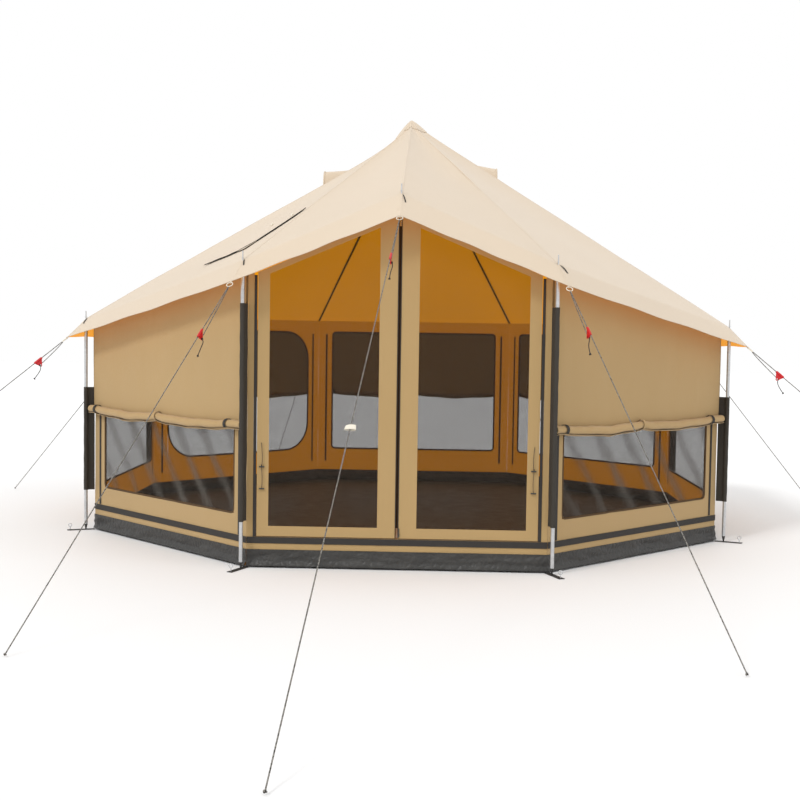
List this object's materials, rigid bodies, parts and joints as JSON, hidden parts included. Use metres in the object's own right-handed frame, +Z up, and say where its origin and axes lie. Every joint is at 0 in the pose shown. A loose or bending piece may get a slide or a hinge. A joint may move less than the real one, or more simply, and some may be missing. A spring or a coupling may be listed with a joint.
{
  "type": "bell tent",
  "caption": "Octagonal canvas bell tent with centre pole, raised gabled double door, roll-up mesh window walls, sewn groundsheet and guy ropes with sliding tensioners.",
  "frame": {"origin": "middle of the groundsheet's underside, on the ground", "axes": "+Z up along the centre pole, -Y out through the door"},
  "size_m": [8.1226, 10.0043, 3.225],
  "materials": {
    "groundsheet": "matte coated",
    "canvas": "matte woven",
    "roof_canvas": "matte woven",
    "mesh": "matte netting",
    "webbing": "matte woven",
    "zip_tape": "matte",
    "zip_metal": "satin",
    "stove_cloth": "matte woven",
    "steel": "satin galvanised",
    "foot_plastic": "matte",
    "ring_plastic": "satin",
    "rope": "braided",
    "runner_plastic": "satin"
  },
  "bodies": {
    "root": {"groundsheet_floor": "groundsheet", "groundsheet_wall": "groundsheet", "wall_skirt": "canvas", "window_meshes": "mesh", "base_bands": "webbing", "zip_tapes": "zip_tape", "door_wall_frame": "canvas", "roof_canopy": "roof_canvas", "peak_cap": "roof_canvas", "vent_hoods": "roof_canvas", "stove_jack": "stove_cloth", "centre_pole": "steel", "door_pole": "steel", "corner_poles": "steel", "pole_spikes": "steel", "pole_feet": "foot_plastic", "pole_sleeves": "webbing", "base_straps": "webbing", "ring_pegs": "steel", "eave_rings": "ring_plastic", "wall_flap_front_right": "canvas", "wall_flap_right": "canvas", "wall_flap_rear_right": "canvas", "wall_flap_rear": "canvas", "wall_flap_rear_left": "canvas", "wall_flap_left": "canvas", "wall_flap_front_left": "canvas", "guy_rope_front": "rope", "guy_rope_front_left": "rope", "guy_rope_front_right": "rope", "guy_rope_left": "rope", "guy_rope_right": "rope", "guy_rope_left_back": "rope", "guy_rope_right_back": "rope", "guy_rope_rear_left": "rope", "guy_rope_rear_right": "rope"},
    "door_left": {"door_leaf_left": "canvas", "door_mesh_left": "mesh", "door_zip_left": "zip_tape"},
    "door_right": {"door_leaf_right": "canvas", "door_mesh_right": "mesh", "door_zip_right": "zip_tape"},
    "zip_slider": {"door_zip_slider": "zip_metal"},
    "stove_cover": {"stove_flap": "roof_canvas"},
    "roll_front_right": {"wall_roll_front_right": "canvas"},
    "roll_right": {"wall_roll_right": "canvas"},
    "roll_rear_right": {"wall_roll_rear_right": "canvas"},
    "roll_rear": {"wall_roll_rear": "canvas"},
    "roll_rear_left": {"wall_roll_rear_left": "canvas"},
    "roll_left": {"wall_roll_left": "canvas"},
    "roll_front_left": {"wall_roll_front_left": "canvas"},
    "tensioner_front": {"guy_tensioner_front": "runner_plastic"},
    "tensioner_front_left": {"guy_tensioner_front_left": "runner_plastic"},
    "tensioner_front_right": {"guy_tensioner_front_right": "runner_plastic"},
    "tensioner_left": {"guy_tensioner_left": "runner_plastic"},
    "tensioner_right": {"guy_tensioner_right": "runner_plastic"},
    "tensioner_left_back": {"guy_tensioner_left_back": "runner_plastic"},
    "tensioner_right_back": {"guy_tensioner_right_back": "runner_plastic"},
    "tensioner_rear_left": {"guy_tensioner_rear_left": "runner_plastic"},
    "tensioner_rear_right": {"guy_tensioner_rear_right": "runner_plastic"}
  },
  "joints": [
    {"name": "door_left_swing", "type": "hinge", "parent": "root", "child": "door_left", "pos_m": [-0.896, -2.312, 0.2], "axis": [0, 0, 1], "range_deg": [0, 90]},
    {"name": "door_right_swing", "type": "hinge", "parent": "root", "child": "door_right", "pos_m": [0.896, -2.312, 0.2], "axis": [0, 0, -1], "range_deg": [0, 90]},
    {"name": "zip_slider_travel", "type": "slide", "parent": "door_right", "child": "zip_slider", "axis": [0, 0, 1], "range_m": [0, 1.9]},
    {"name": "stove_cover_lift", "type": "hinge", "parent": "root", "child": "stove_cover", "pos_m": [-0.83439, -1.42128, 2.32688], "axis": [-0.6949, 0.6949, -0.1853], "range_deg": [0, 150]},
    {"name": "roll_front_right_travel", "type": "slide", "parent": "root", "child": "roll_front_right", "axis": [0, 0, 1], "range_m": [-0.65, 0.5], "deforming": ["wall_flap_front_right"]},
    {"name": "roll_right_travel", "type": "slide", "parent": "root", "child": "roll_right", "axis": [0, 0, 1], "range_m": [-0.65, 0.5], "deforming": ["wall_flap_right"]},
    {"name": "roll_rear_right_travel", "type": "slide", "parent": "root", "child": "roll_rear_right", "axis": [0, 0, 1], "range_m": [-0.65, 0.5], "deforming": ["wall_flap_rear_right"]},
    {"name": "roll_rear_travel", "type": "slide", "parent": "root", "child": "roll_rear", "axis": [0, 0, 1], "range_m": [-0.65, 0.5], "deforming": ["wall_flap_rear"]},
    {"name": "roll_rear_left_travel", "type": "slide", "parent": "root", "child": "roll_rear_left", "axis": [0, 0, 1], "range_m": [-0.65, 0.5], "deforming": ["wall_flap_rear_left"]},
    {"name": "roll_left_travel", "type": "slide", "parent": "root", "child": "roll_left", "axis": [0, 0, 1], "range_m": [-0.65, 0.5], "deforming": ["wall_flap_left"]},
    {"name": "roll_front_left_travel", "type": "slide", "parent": "root", "child": "roll_front_left", "axis": [0, 0, 1], "range_m": [-0.65, 0.5], "deforming": ["wall_flap_front_left"]},
    {"name": "tensioner_front_travel", "type": "slide", "parent": "root", "child": "tensioner_front", "axis": [-0.0691, -0.8531, -0.5172], "range_m": [0, 0.12]},
    {"name": "tensioner_front_left_travel", "type": "slide", "parent": "root", "child": "tensioner_front_left", "axis": [-0.2423, -0.7313, -0.6375], "range_m": [0, 0.12]},
    {"name": "tensioner_front_right_travel", "type": "slide", "parent": "root", "child": "tensioner_front_right", "axis": [0.2161, -0.7437, -0.6326], "range_m": [0, 0.12]},
    {"name": "tensioner_left_travel", "type": "slide", "parent": "root", "child": "tensioner_left", "axis": [-0.6871, -0.361, -0.6305], "range_m": [0, 0.12]},
    {"name": "tensioner_right_travel", "type": "slide", "parent": "root", "child": "tensioner_right", "axis": [0.6871, -0.361, -0.6305], "range_m": [0, 0.12]},
    {"name": "tensioner_left_back_travel", "type": "slide", "parent": "root", "child": "tensioner_left_back", "axis": [-0.6315, 0.0839, -0.7708], "range_m": [0, 0.12]},
    {"name": "tensioner_right_back_travel", "type": "slide", "parent": "root", "child": "tensioner_right_back", "axis": [0.6315, 0.0839, -0.7708], "range_m": [0, 0.12]},
    {"name": "tensioner_rear_left_travel", "type": "slide", "parent": "root", "child": "tensioner_rear_left", "axis": [-0.273, 0.6598, -0.7001], "range_m": [0, 0.12]},
    {"name": "tensioner_rear_right_travel", "type": "slide", "parent": "root", "child": "tensioner_rear_right", "axis": [0.273, 0.6598, -0.7001], "range_m": [0, 0.12]}
  ]
}
